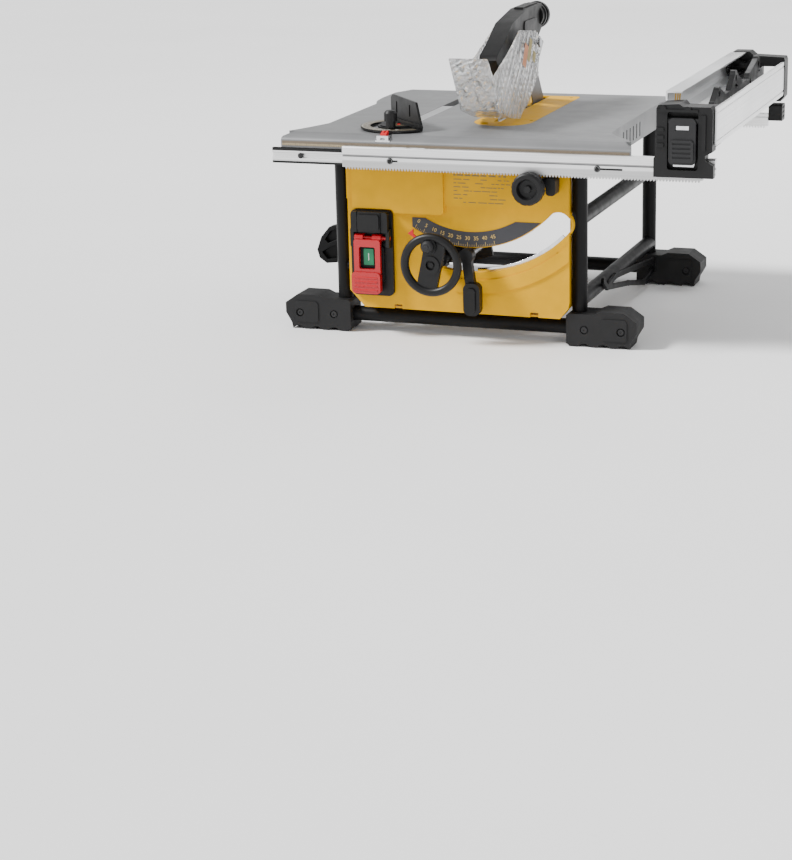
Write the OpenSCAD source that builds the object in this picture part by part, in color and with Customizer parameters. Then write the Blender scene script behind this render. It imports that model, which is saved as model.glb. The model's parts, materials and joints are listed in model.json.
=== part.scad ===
// Compact jobsite table saw: tube base, tilting arbor carriage, blade guard,
// rack-and-pinion fence rails, rip fence, mitre gauge.
// Millimetres, +Z up, +Y to the back, +X to the operator's right.

/* [Table] */
// Width of the flat table behind the flared front corners
table_w = 486; // [420:1:560]
// Height of the table surface above the floor
table_z = 338; // [300:1:380]
// Y position of the table's back edge, measured from the front posts
table_back = 451; // [400:1:500]
// Thickness of the table deck
deck_t = 8; // [5:0.5:12]

/* [Blade] */
// Diameter of the saw blade
blade_d = 210; // [184:1:216]
// Number of blade teeth
blade_teeth = 24; // [16:1:40]
// X position of the blade plane
blade_x = 28; // [0:1:60]
// Y position of the arbor
arbor_y = 222; // [200:1:240]
// Depth of cut when the blade is fully raised
cut_depth = 65; // [50:1:70]
// Vertical travel of the arbor carriage
lift_travel = 64; // [50:1:65]

/* [Base frame] */
// Distance from the middle to each post
post_x = 203.5; // [180:0.5:240]
// Y position of the rear posts
rear_post_y = 464; // [420:1:500]
// Diameter of the frame tubes
tube_d = 25; // [20:0.5:32]
// Outer end of each foot, measured from the middle
foot_reach = 304; // [280:1:340]
// Height of each foot
foot_h = 59; // [40:1:70]

/* [Rails and fence] */
// Half length of the fixed rails
rail_half = 299; // [280:1:330]
// Left end of the sliding rails
slide_left = -173; // [-200:1:-120]
// Right end of the sliding rails
slide_right = 414; // [380:1:460]
// X position of the pinion shaft
shaft_x = 143; // [100:1:180]
// Gear module of the racks and pinions
gear_mod = 1.6; // [1.2:0.1:2]
// Teeth on each pinion
pinion_teeth = 25; // [18:1:30]
// Left face of the rip fence
fence_x = 347; // [320:1:380]

/* [Front controls] */
// Radius of the height handwheel, to the middle of its rim
wheel_r = 45; // [38:1:52]
// X position of the handwheel axis
wheel_x = -22; // [-40:1:0]
// Height of the handwheel axis
wheel_z = 135; // [120:1:150]
// Radius of the fence adjusting knob
knob_r = 26; // [20:0.5:32]

/* [Hidden] */
$fn = 96;
origin_x = 68.5;
origin_y = 199.7;
deck_z = table_z - deck_t;
half_w = table_w / 2;
arbor_z = table_z + cut_depth - blade_d / 2;
motor_z = arbor_z - 30;
shaft_z = table_z - 72;
pitch_r = gear_mod * pinion_teeth / 2;
rack_pitch = PI * gear_mod;
rack_line = shaft_z + pitch_r;
rack_root = rack_line + 1.25 * gear_mod;
rack_tip = rack_line - gear_mod;
tube_r = tube_d / 2;
panel_y = -30;
rod_x = 2;
front_rod_y = 78;
rear_rod_y = 400;
guard_y = 254;
guard_z = table_z + 114;
port_z = table_z + 151;
mitre_x = -108;
mitre_y = 21;
mitre_turn = -45;
side = [-1, 1];

black = [0.07, 0.07, 0.075];
dark = [0.16, 0.16, 0.17];
yellow = [0.98, 0.74, 0.05];
silver = [0.78, 0.79, 0.80];
steel = [0.62, 0.63, 0.65];
slate = [0.42, 0.43, 0.44];
red = [0.80, 0.08, 0.10];
green = [0.05, 0.55, 0.28];
clear = [0.85, 0.90, 0.92, 0.35];

// ---------- helpers ----------
module place() {
  translate([-origin_x, -origin_y, 0]) children();
}

module box(a, b) {
  translate(a) cube([b[0] - a[0], b[1] - a[1], b[2] - a[2]]);
}

// Extrudes a flat shape drawn in X and Z along Y.
module along_y(y0, y1) {
  translate([0, y1, 0]) rotate([90, 0, 0]) linear_extrude(y1 - y0) children();
}

// Extrudes a flat shape drawn in Y and Z along X.
module along_x(x0, x1) {
  translate([x0, 0, 0]) rotate([90, 0, 90]) linear_extrude(x1 - x0) children();
}

// Extrudes a flat shape drawn in X and Y along Z.
module along_z(z0, z1) {
  translate([0, 0, z0]) linear_extrude(z1 - z0) children();
}

module dot(p, r) {
  translate(p) circle(r);
}

module rrect(a, b, r) {
  translate([a[0] + r, a[1]]) square([b[0] - a[0] - 2 * r, b[1] - a[1]]);
  translate([a[0], a[1] + r]) square([b[0] - a[0], b[1] - a[1] - 2 * r]);
  for (x = [a[0] + r, b[0] - r], y = [a[1] + r, b[1] - r]) dot([x, y], r);
}

// Straight strip of width w between two points of a flat drawing.
module strip(p, q, w) {
  d = q - p;
  translate(p) rotate(atan2(d[1], d[0])) translate([0, -w / 2]) square([norm(d), w]);
}

// Ring sector about the tilt axis, angles from straight down towards +X.
module tilt_band(r0, r1, a0, a1) {
  step = (a1 - a0) / 4;
  edge = [for (i = [0 : 4]) 2 * r1 * [sin(a0 + i * step), -cos(a0 + i * step)]];
  translate([blade_x, table_z]) intersection() {
    difference() {
      circle(r1, $fn = 180);
      circle(r0, $fn = 180);
    }
    polygon(concat([[0, 0]], edge));
  }
}

function tilt_point(r, a) = [blade_x + r * sin(a), table_z - r * cos(a)];
function inv_polar(t) = t * 180 / PI - atan(t);
function spin(r, a) = [r * cos(a), r * sin(a)];

// Involute spur gear outline with tooth 0 pointing along the first axis.
function gear_points(m, z, back = 0.12) =
  let (
    rp = m * z / 2,
    rb = rp * cos(20),
    ra = rp + m,
    rf = rp - 1.25 * m,
    half = 90 / z - back / rp * 90 / PI + inv_polar(tan(20)),
    lo = max(rb, rf + 0.05),
    t0 = sqrt(max(0, pow(lo / rb, 2) - 1)),
    t1 = sqrt(pow(ra / rb, 2) - 1),
    ts = [for (i = [0 : 3]) t0 + (t1 - t0) * i / 3]
  )
  [for (k = [0 : z - 1]) each concat(
    [spin(rf, 360 * k / z - half)],
    [for (t = ts) spin(rb * sqrt(1 + t * t), 360 * k / z - half + inv_polar(t))],
    [for (i = [3 : -1 : 0]) spin(rb * sqrt(1 + ts[i] * ts[i]), 360 * k / z + half - inv_polar(ts[i]))],
    [spin(rf, 360 * k / z + half)]
  )];

// Rack outline, teeth pointing down, meshing with a pinion tooth that points straight up.
module rack_profile(x0, x1, top) {
  k0 = ceil((x0 - shaft_x) / rack_pitch);
  k1 = floor((x1 - shaft_x) / rack_pitch) - 1;
  tip = rack_pitch / 4 - 0.08 - gear_mod * tan(20);
  root = rack_pitch / 4 - 0.08 + 1.25 * gear_mod * tan(20);
  teeth = [for (k = [k0 : k1]) each
    let (c = shaft_x + (k + 0.5) * rack_pitch)
    [[c - root, rack_root], [c - tip, rack_tip], [c + tip, rack_tip], [c + root, rack_root]]];
  polygon(concat([[x0, top], [x0, rack_root]], teeth, [[x1, rack_root], [x1, top]]));
}

module screw_head(r, h) {
  difference() {
    cylinder(r = r, h = h, $fn = 32);
    translate([0, 0, h - 1]) cylinder(r = r * 0.45, h = 2, $fn = 6);
  }
}

// ---------- base frame ----------
module posts(y, top) {
  color(black) place() for (s = side) translate([s * post_x, y, 16]) cylinder(r = tube_r, h = top - 16);
}

module posts_front() {
  posts(0, deck_z);
}

module posts_rear() {
  posts(rear_post_y, 283.9);
}

module post_space() {
  for (s = side, y = [0, rear_post_y]) translate([s * post_x, y, 0]) cylinder(r = tube_r, h = table_z);
}

module cross_tubes() {
  color(black) place() difference() {
    for (y = [0, rear_post_y]) translate([-post_x, y, 27]) rotate([0, 90, 0]) cylinder(r = tube_r, h = 2 * post_x);
    post_space();
  }
}

module side_pair(z) {
  color(black) place() difference() {
    for (s = side) translate([s * post_x, 0, z]) rotate([-90, 0, 0]) cylinder(r = tube_r, h = rear_post_y);
    post_space();
  }
}

module side_tubes_lower() {
  side_pair(71.5);
}

module side_tubes_upper() {
  side_pair(205);
}

// Rubber-shod foot block: stepped top, chamfered nose, scalloped sole.
module foot(sx, y) {
  reach = foot_reach - 187;
  color(black) place() translate([sx * 187, y, 0]) mirror([sx < 0 ? 1 : 0, 0, 0]) difference() {
    union() {
      along_y(-25, 25) difference() {
        polygon([[0, 0], [0, 51], [4, 54], [46, 54], [57, foot_h], [reach - 22, foot_h],
          [reach, 44], [reach, 27], [reach - 10, 10], [reach - 12, 0]]);
        for (x = [22 : 32 : 100]) dot([x + 8, -9], 14);
        dot([-4, -6], 11);
      }
      along_y(-26.5, 26.5) rrect([58, 12], [reach - 16, 48], 6);
    }
    translate([post_x - 187, 0, 16]) cylinder(r = tube_r, h = 60);
    translate([-30, 0, 27]) rotate([0, 90, 0]) cylinder(r = tube_r, h = 30 + post_x - 187);
    box([-40, -tube_r, 16], [post_x - 187, tube_r, 27]);
    side_y = y > 0 ? -1 : 1;
    for (x = [30, 91]) translate([x, -27, 28]) rotate([-90, 0, 0]) cylinder(r = 7, h = x > 60 ? 4.5 : 5);
    translate([post_x - 187, 0, 71.5]) rotate([side_y * -90, 0, 0]) cylinder(r = tube_r, h = 60);
  }
}

module foot_front_left() {
  foot(-1, 0);
}

module foot_front_right() {
  foot(1, 0);
}

module foot_rear_left() {
  foot(-1, rear_post_y);
}

module foot_rear_right() {
  foot(1, rear_post_y);
}

module foot_screws() {
  color(dark) place() for (s = side, y = [0, rear_post_y], x = [217, 278]) {
    seat = x > 240 ? -22.5 : -22;
    translate([s * x, y + seat, 28]) rotate([90, 0, 0]) screw_head(5, 3);
  }
}

// Hook block for hanging the guard outside the left-hand tubes.
module storage_hook() {
  strap = -post_x - tube_r;
  color(black) place() {
    box([strap - 4, 50, 66], [strap, 72, 212]);
    difference() {
      along_y(52, 70) polygon([[strap - 3.9, 168], [-232, 166], [-252, 160], [-267, 142], [-275, 120], [-271, 106],
        [-258, 97], [-240, 99], [strap - 3.9, 108]]);
      along_y(51, 60) polygon([[-236, 158], [-250, 153], [-260, 138], [-254, 132], [-236, 140]]);
      along_y(51, 60) polygon([[-236, 132], [-254, 124], [-266, 116], [-256, 104], [-240, 106]]);
    }
  }
}

// Sheet loop under the lower right-hand tube.
module storage_loop() {
  outer = post_x + tube_r;
  low = [[88, 84], [112, 68], [254, 44], [366, 20], [434, 30]];
  high = [[112, 68], [165, 76], [295, 62], [434, 46]];
  color(black) place() along_x(outer, outer + 5) {
    for (i = [0 : 3]) {
      strip(low[i], low[i + 1], 9);
      dot(low[i], 5.2);
    }
    for (i = [0 : 2]) {
      strip(high[i], high[i + 1], 9);
      dot(high[i], 5.2);
    }
    strip([434, 27], [434, 49], 9);
  }
}

// ---------- table ----------
module table_outline() {
  right = [[half_w, table_back - 12], [half_w, 46], [249, 31], [260, 12], [276, -8], [288, -24],
    [298, -42], [303, -62]];
  left = [[-285, -62], [-281, -44], [-268, -18], [-258, 6], [-249, 30], [-half_w, 46],
    [-half_w, 270], [-254, 302], [-258, 340], [-258, 408], [-240, table_back]];
  polygon(concat([[half_w - 10, table_back]], right, left));
}

// Outline of the throat opening, drawn in by g all round.
module throat_outline(g) {
  dot([40, 121], 50 - g);
  translate([-10 + g, 121]) square([100 - 2 * g, 285]);
  translate([2, 121]) square([76, 299 - g]);
  for (x = [2, 78]) dot([x, 408], 12 - g);
}

module wall(p, q, t, z0, z1) {
  along_z(z0, z1) strip(p, q, t);
}

module mitre_slot_profile(g) {
  translate([mitre_x - 10.3 + g, table_z - 8]) square([20.6 - 2 * g, 9 - g]);
  translate([mitre_x - 12.8 + g, table_z - 10.8 + g]) square([25.6 - 2 * g, 3.6 - 2 * g]);
}

module table_top() {
  skirt = table_z - 42;
  color(slate) place() difference() {
    union() {
      intersection() {
        along_z(table_z - 30, table_z) table_outline();
        along_x(-310, 310) polygon([[-45, table_z], [-60, table_z - 8], [-62, table_z - 11], [-62, table_z - 27],
          [-55, table_z - 27], [-50, deck_z - 6], [-40, deck_z], [460, deck_z], [460, table_z]]);
        union() {
          along_y(-40, 470) translate([-310, 300]) square([620, 50]);
          along_y(-70, -40) polygon([[-310, 300], [-310, 322], [-265, table_z + 1], [286, table_z + 1],
            [310, 324], [310, 300]]);
        }
      }
      intersection() {
        along_z(skirt, deck_z) table_outline();
        union() {
          for (s = side) wall([s * (half_w - 3), 44], [s * (half_w - 3), table_back], 6, skirt, deck_z);
          wall([half_w - 4, 46], [292, -58], 5, skirt + 20, deck_z - 6);
          wall([-half_w + 4, 46], [-274, -58], 5, skirt + 20, deck_z - 6);
          wall([-half_w + 2, 266], [-255, 342], 5, skirt, deck_z);
          wall([-255.4, 338], [-255.4, 410], 5, skirt, deck_z);
          wall([-255, 406], [-238, table_back], 5, skirt, deck_z);
          box([-250, table_back - 6, skirt], [250, table_back + 2, deck_z]);
        }
      }
      box([-240, 19, table_z - 26], [240, 25, deck_z]);
      for (x = [-190, 150]) box([x, 25, table_z - 24], [x + 5, table_back - 6, deck_z]);
      box([mitre_x - 17, -50, table_z - 15], [mitre_x + 17, table_back - 6, deck_z]);
      along_z(table_z - 11, deck_z) difference() {
        throat_outline(-5);
        throat_outline(0);
      }
    }
    along_z(table_z - 20, table_z + 1) throat_outline(0);
    along_y(-70, table_back + 10) mitre_slot_profile(0);
    for (y = [118 : 22 : 240]) box([half_w - 1.6, y, skirt + 6], [half_w + 2, y + 7, table_z - 12]);
    for (y = [70 : 22 : 230]) box([-half_w - 2, y, skirt + 6], [-half_w + 1.6, y + 7, table_z - 12]);
  }
  color(slate) place() for (x = [-10, 82], y = [126, 396]) box([x, y, table_z - 9], [x + 8, y + 8, table_z - 3]);
}

module throat_insert() {
  color(yellow) place() difference() {
    along_z(table_z - 3, table_z) throat_outline(0.5);
    box([blade_x - 5.4, 117, table_z - 5], [blade_x + 5.6, 412, table_z + 1]);
    translate([14, 96, table_z - 5]) cylinder(r = 7, h = 8, $fn = 40);
    for (p = [[-2, 136], [82, 136], [6, 402], [76, 402]]) {
      translate([p[0], p[1], table_z - 1.2]) cylinder(r = 3, h = 3, $fn = 32);
    }
  }
}

// ---------- fixed rails ----------
module front_fixed_rail() {
  color(silver) place() difference() {
    along_x(-rail_half, rail_half) polygon([[-67, 289], [-67, 298], [-64, 298], [-64, 306], [-67, 306],
      [-67, 314], [-62.3, 314], [-62.3, 311], [-55, 311], [-55, 289]]);
    for (x = [-249, 249]) translate([x, -70, 302]) rotate([-90, 0, 0]) cylinder(r = 3, h = 20, $fn = 32);
  }
}

module rear_fixed_rail() {
  color(silver) place() difference() {
    along_x(-rail_half, rail_half) polygon([[table_back, 284], [table_back, 309], [465.6, 309], [465.6, 304],
      [462.6, 304], [462.6, 296], [465.6, 296], [465.6, 284]]);
    translate([shaft_x, table_back + 8, 284]) box([-30, -20, -1], [30, 20, 6]);
  }
}

// ---------- sliding rails and fence drive ----------
module front_slide_rail() {
  far = fence_x + 90;
  color(silver) place() {
    along_y(-75, -67.4) rack_profile(slide_left, slide_right + 4, 296);
    difference() {
      along_x(slide_left, far) polygon([[-75, 296], [-75, 305], [-73, 305.6], [-73, 307.6], [-75, 308.2],
        [-75, 319], [-73, 321], [-63, 321], [-63, 315], [-67.4, 315], [-67.4, 305.4], [-64.6, 305.4],
        [-64.6, 298.6], [-67.4, 298.6], [-67.4, 296]]);
      for (x = [-92, -60]) box([x, -72, 319.6], [x + 26, -65, 322]);
      for (x = [-91, 252]) translate([x, -76, 300]) rotate([-90, 0, 0]) cylinder(r = 4.5, h = 3, $fn = 40);
    }
    for (x = [-91, 252]) translate([x, -73, 300]) rotate([90, 0, 0]) screw_head(4, 4);
  }
}

module rear_slide_rail() {
  color(silver) place() {
    along_y(466, 476) rack_profile(slide_left, slide_right, 296);
    along_x(slide_left, slide_right) polygon([[476, 296], [476, 310], [466, 310], [466, 303.6], [463, 303.6],
      [463, 296.4], [466, 296.4], [466, 296]]);
  }
}

module slide_end_cap() {
  color(black) place() difference() {
    along_x(slide_right, slide_right + 24) rrect([466.4, 297], [494, 326], 4);
    for (z = [303, 311, 319]) box([slide_right + 22.5, 470, z], [slide_right + 26, 490, z + 3]);
  }
}

module pinion_shaft() {
  color(steel) place() translate([shaft_x, 0, shaft_z]) {
    rotate([-90, 0, 0]) translate([0, 0, -78]) cylinder(r = 5, h = 556, $fn = 64);
    for (y = [-75, 466]) translate([0, y + 8, 0]) rotate([90, 0, 0]) linear_extrude(8) rotate(90)
      polygon(gear_points(gear_mod, pinion_teeth));
  }
}

module adjust_knob() {
  color(black) place() translate([shaft_x, -78, shaft_z]) rotate([90, 0, 0]) difference() {
    union() {
      cylinder(r = knob_r, h = 13);
      translate([0, 0, 13]) cylinder(r1 = knob_r, r2 = knob_r - 3, h = 3);
    }
    translate([0, 0, 8]) cylinder(r1 = 14, r2 = 17, h = 9);
    for (a = [0 : 30 : 330]) rotate(a) translate([knob_r + 3.1, 0, -1]) cylinder(r = 4, h = 20, $fn = 24);
  }
  color(dark) place() translate([shaft_x, -86, shaft_z]) rotate([90, 0, 0]) cylinder(r = 6, h = 5, $fn = 6);
}

module rail_lock_lever() {
  color(black) place() difference() {
    union() {
      along_y(-60, -44) {
        dot([shaft_x, shaft_z], 13);
        strip([shaft_x, shaft_z + 2], [shaft_x + 30, shaft_z + 8], 14);
        dot([shaft_x + 30, shaft_z + 8], 7);
      }
      along_y(-64, -40) rrect([shaft_x + 22, shaft_z - 14], [shaft_x + 38, shaft_z + 14], 6);
    }
    along_y(-70, -30) dot([shaft_x, shaft_z], 5.3);
  }
}

// ---------- rip fence ----------
module fence_beam() {
  x = fence_x;
  color(silver) place() along_y(-24, 465) difference() {
    polygon([[x, 341], [x, 416], [x + 26, 416], [x + 26, 413], [x + 3, 413], [x + 3, 380], [x + 24, 380],
      [x + 24, 350], [x + 27, 350], [x + 27, 341]]);
    translate([x + 3, 344]) square([20, 33]);
    translate([x - 1, 396]) square([1.8, 6]);
  }
}

module fence_face() {
  x = fence_x + 89;
  color(silver) place() along_y(-78, 465) difference() {
    translate([x, 343]) square([4, 58]);
    translate([x + 3, 350]) square([2, 2]);
    translate([x + 3, 392]) square([2, 2]);
  }
}

module fence_head_front() {
  x = fence_x;
  color(black) place() difference() {
    union() {
      box([x + 2, -62.5, 338.5], [x + 88, -25, 398]);
      along_y(-88, -62.4) polygon([[x - 3, 293.5], [x - 3, 322], [x + 1, 329], [x + 1, 399], [x + 4, 404], [x + 36, 406],
        [x + 42, 402], [x + 84, 402], [x + 88, 397], [x + 88, 334], [x + 77, 328], [x + 77, 320], [x + 90, 313],
        [x + 90, 293.5]]);
      along_y(-62, -26) polygon([[x + 3, 397], [x + 3, 402], [x + 34, 404], [x + 40, 397]]);
      for (z = [340, 352, 364]) box([x + 2, -90.5, z], [x + 13, -88, z + 6]);
      box([x + 72, -91, 336], [x + 78, -88, 390]);
      box([x + 2, -90.5, 394], [x + 66, -88, 398]);
      for (dx = [12, 50]) translate([x + dx, -90.6, 398]) rotate([-90, 0, 0]) cylinder(r = 5, h = 4, $fn = 32);
    }
    box([x - 20, -75.6, 280], [x + 110, -61, 321.6]);
    along_y(-100, -76.2) rrect([x + 18, 305], [x + 66, 394], 5);
    along_y(-100, -73.8) rrect([x + 18, 364], [x + 66, 394], 5);
    along_y(-40, -24.5) rrect([x + 30, 345], [x + 80, 388], 5);
  }
  color(black) place() along_y(-42, 64) translate([x + 46, 364]) square([20, 4.6]);
}

module fence_head_rear() {
  x = fence_x;
  color(black) place() difference() {
    union() {
      along_y(465, 496) polygon([[x - 1, 330], [x - 1, 412], [x + 4, 417], [x + 32, 417], [x + 40, 410],
        [x + 92, 408], [x + 94, 402], [x + 94, 340], [x + 88, 332]]);
      box([x + 8, 480, 300], [x + 46, 496, 336]);
      along_y(452, 466) {
        strip([x + 8, 386], [x + 44, 404], 7);
        strip([x + 8, 404], [x + 44, 386], 7);
      }
      along_y(430, 466) rrect([x + 4, 381], [x + 24, 385], 1.5);
      along_y(404, 466) translate([x + 46, 360]) square([20, 4.6]);
    }
    along_y(464, 500) rrect([x + 52, 345], [x + 84, 392], 5);
    box([x + 12, 484.5, 302], [x + 42, 500, 352]);
  }
}

module fence_latch_front() {
  x = fence_x;
  color(dark) place() difference() {
    union() {
      along_y(-92, -77) rrect([x + 21, 314], [x + 63, 385], 7);
      along_y(-95, -92) rrect([x + 24, 318], [x + 60, 352], 5);
      along_x(x + 18.4, x + 65.6) dot([-82, 380], 5);
    }
    along_y(-93, -89) rrect([x + 31, 366], [x + 53, 374], 2);
    for (z = [324 : 7 : 346]) box([x + 28, -96, z], [x + 56, -93.6, z + 3]);
  }
}

module fence_latch_rear() {
  x = fence_x;
  color(dark) place() along_x(x + 13, x + 41) {
    dot([490, 346], 5);
    strip([490, 346], [490, 308], 8);
    dot([490, 308], 4);
    strip([490, 326], [495, 312], 5);
  }
}

// Push stick stored in the trough of the fence.
module push_stick() {
  x = fence_x + 52;
  color(black) place() along_x(x, x + 9) difference() {
    union() {
      strip([52, 380], [420, 380], 22);
      dot([52, 380], 11);
      dot([420, 380], 15);
      strip([52, 380], [86, 398], 20);
      dot([86, 398], 11);
      strip([86, 398], [128, 384], 18);
      strip([176, 384], [212, 408], 18);
      dot([212, 408], 11);
      strip([212, 408], [262, 386], 18);
      strip([330, 388], [400, 406], 22);
      dot([400, 406], 13);
      dot([330, 386], 14);
    }
    dot([86, 398], 5);
    dot([212, 406], 5);
    dot([400, 404], 6);
    dot([330, 384], 6);
  }
}

// ---------- body ----------
module panel_outline() {
  polygon([[-184, 284], [-184, 74], [-158, 46], [178, 45], [192, 62], [194, 72], [194, 284]]);
}

module arc_slot(r0, r1, a0, a1) {
  tilt_band(r0, r1, a0, a1);
  for (a = [a0, a1]) dot(tilt_point((r0 + r1) / 2, a), (r1 - r0) / 2);
}

module front_panel() {
  y = panel_y;
  color(yellow) place() difference() {
    union() {
      along_y(y, y + 4) panel_outline();
      along_y(y - 8, y) difference() {
        rrect([-173, 208], [-15, 284], 7);
        rrect([-190, 60], [-100, 214], 8);
      }
      along_y(y - 3.5, y) translate([-15, 222]) square([209, 62]);
      along_y(y - 3.5, y) translate([-184, 228]) square([20, 56]);
      along_y(y - 2.2, y) intersection() {
        tilt_band(236, 258, -6, 62);
        panel_outline();
      }
      along_y(y + 4, 10) {
        strip([-182.5, 284], [-182.5, 74], 3);
        strip([-182.5, 74.6], [-157.4, 47.6], 3);
        strip([-158, 47.5], [177, 46.5], 3);
        strip([176.6, 46.4], [187, 62], 3);
        strip([188.5, 60], [188.5, 284], 3);
      }
      along_y(y + 3, y + 12) arc_slot(180, 227, -16.5, 47);
      along_y(y + 4, y + 18) dot([shaft_x, shaft_z], 11);
      along_y(y + 4, 10) {
        strip([-110, 284], [-110, 215], 3);
        strip([-60, 284], [-60, 215], 3);
      }
    }
    along_y(y - 10, y + 30) arc_slot(183, 224, -16.5, 47);
    along_y(y - 12, y + 30) dot([shaft_x, shaft_z], 5.6);
    along_y(y - 1, y + 5) for (x = [-106, 128]) translate([x, 40]) square([14, 13]);
    along_y(y - 1, y + 5) rrect([-168, 80], [-112, 160], 6);
    translate([176, y - 1, 152]) rotate([-90, 0, 0]) cylinder(r = 3, h = 3, $fn = 32);
  }
  color(black) place() translate([-184, -18, 112]) rotate([0, -90, 0]) difference() {
    cylinder(r = 6.5, h = 6, $fn = 48);
    translate([0, 0, -1]) cylinder(r = 4, h = 9, $fn = 48);
  }
}

module bevel_scale() {
  color(dark) place() along_y(panel_y - 1.2, panel_y) intersection() {
    tilt_band(157, 181.5, -40, 44);
    translate([-71, 140]) square([220, 61]);
  }
}

// Bright steel strips that line the back of the arc slot.
module bevel_track() {
  color(silver) place() along_y(panel_y + 12, panel_y + 15) {
    tilt_band(176, 184.2, -8, 34);
    tilt_band(218.6, 229, 2, 44);
  }
}

// ---------- tilting works ----------
module trunnion(y) {
  color(steel) place() difference() {
    union() {
      along_y(y, y + 8) tilt_band(58, 92, -70, 52);
      along_y(y, y + 8) for (s = [[-62, -40], [72, 94]]) {
        translate([s[0], 262]) square([s[1] - s[0], deck_z - 262]);
      }
      box([-62, y, deck_z - 6], [94, y + 8, deck_z]);
    }
    along_y(y - 1, y + 9) tilt_band(70, 80, -62, 46);
    box([-100, y - 1, deck_z], [140, y + 9, table_z + 60]);
  }
}

module trunnions() {
  trunnion(29.5);
  trunnion(425.5);
}

module tilt_plate_outline() {
  polygon([[-92, table_z - 15.5], [-56, table_z - 15.5], [-48, table_z - 24], [36, table_z - 28], [36, 262], [40, 150], [44, 128], [10, 118],
    [-60, 116], [-92, 122]]);
}

module tilt_frame() {
  color(dark) place() difference() {
    union() {
      along_y(38, 45) tilt_plate_outline();
      along_y(418, 425) tilt_plate_outline();
      along_y(29, 38) tilt_band(70.4, 79.6, -60, -6);
      along_y(425, 434) tilt_band(70.4, 79.6, -60, -6);
      box([-92, 45, table_z - 24.2], [-58, 418, table_z - 15.5]);
      box([-92, 45, 132], [-52, 418, 142]);
      for (z = [156, table_z - 34]) {
        box([-40, 45, z], [14, 94, z + 8]);
        box([-12, 386, z], [14, 418, z + 8]);
      }
      along_y(-8, 38) dot([wheel_x, wheel_z], 13);
    }
    for (y = [front_rod_y, rear_rod_y]) translate([rod_x, y, 150]) cylinder(r = 7, h = 200, $fn = 64);
    translate([wheel_x - 0, front_rod_y, 150]) cylinder(r = 6.06, h = 200, $fn = 64);
    along_y(-20, 60) dot([wheel_x, wheel_z], 7.06);
    along_y(30, 60) dot([blade_x + 2, 147], 5.06);
    box([0, 417, 100], [60, 426, 226]);
  }
}

module guide_rods() {
  color(steel) place() for (y = [front_rod_y, rear_rod_y]) {
    translate([rod_x, y, 156]) cylinder(r = 7, h = table_z - 26 - 156, $fn = 64);
  }
}

// Mitre gear as a smooth cone with radial grooves cut in.
module cone_gear() {
  difference() {
    cylinder(r1 = 13.4, r2 = 7.6, h = 6, $fn = 64);
    for (a = [0 : 22.5 : 337.5]) rotate(a) translate([10.4, -0.7, 2]) rotate([0, 45, 0]) cube([1.4, 1.4, 12], center = false);
  }
}

module lead_screw() {
  color(steel) place() translate([wheel_x, front_rod_y, 0]) {
    translate([0, 0, wheel_z + 20]) cylinder(r = 6, h = table_z - 27 - wheel_z - 20, $fn = 64);
    translate([0, 0, wheel_z + 14]) cylinder(r = 13.4, h = 6, $fn = 64);
    translate([0, 0, wheel_z + 14]) mirror([0, 0, 1]) cone_gear();
  }
}

module handwheel() {
  color(black) place() translate([wheel_x, 0, wheel_z]) rotate([90, 0, 0]) {
    difference() {
      union() {
        translate([0, 0, 82]) rotate_extrude($fn = 96) translate([wheel_r, 0]) circle(7, $fn = 32);
        translate([0, 0, 75]) intersection() {
          cylinder(r = wheel_r - 2, h = 9);
          rotate(78) translate([-60, -17, 0]) cube([120, 34, 9]);
        }
        translate([0, 0, 62]) cylinder(r = 15, h = 24);
        translate([-2.5, 31, 75]) cylinder(r = 13, h = 13);
      }
      translate([0, 0, 81]) cylinder(r = 8, h = 8);
      translate([-2.5, 31, 79]) cylinder(r = 10.4, h = 12);
    }
    translate([0, 0, 81]) cylinder(r = 5, h = 3, $fn = 6);
  }
  color(steel) place() translate([wheel_x, 0, wheel_z]) rotate([90, 0, 0]) {
    translate([0, 0, -60]) cylinder(r = 7, h = 122, $fn = 64);
    translate([0, 0, -64]) cylinder(r = 13.4, h = 4, $fn = 64);
    translate([0, 0, -64]) mirror([0, 0, 1]) cone_gear();
  }
}

module crank_knob() {
  color(dark) place() translate([wheel_x - 2.5, -79.4, wheel_z + 31]) rotate([90, 0, 0]) {
    cylinder(r = 10, h = 13);
    translate([0, 0, 13]) cylinder(r1 = 10, r2 = 7, h = 4);
    translate([0, 0, 17]) cylinder(r = 4, h = 1.5, $fn = 6);
  }
}

module bevel_lock_lever() {
  x = blade_x + 2;
  color(black) place() {
    along_y(-62, -46) dot([x, 147], 12);
    along_y(-60, -49) polygon([[x - 8, 144], [x + 8, 144], [x + 14, 100], [x + 4, 96], [x - 2, 100]]);
    along_y(-66, -50) rrect([x - 4, 50], [x + 24, 104], 11);
    along_y(-69, -66) rrect([x + 3, 56], [x + 17, 96], 6);
  }
  color(steel) place() {
    along_y(-46, 46.2) dot([x, 147], 5);
    along_y(46.2, 53) dot([x, 147], 11);
  }
}

// Pointer arm of the bevel scale, carried by the handwheel bearing.
module bevel_pointer() {
  color(red) place() {
    along_y(-40, -37.5) difference() {
      union() {
        strip([wheel_x, wheel_z], tilt_point(190, -31), 5);
        polygon([tilt_point(193, -32.8), tilt_point(193, -29.2), tilt_point(181, -31.5)]);
        dot([wheel_x, wheel_z], 12.9);
      }
      dot([wheel_x, wheel_z], 7.3);
    }
    along_y(-37.5, -8) difference() {
      dot([wheel_x, wheel_z], 9);
      dot([wheel_x, wheel_z], 7.3);
    }
  }
}

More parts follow.
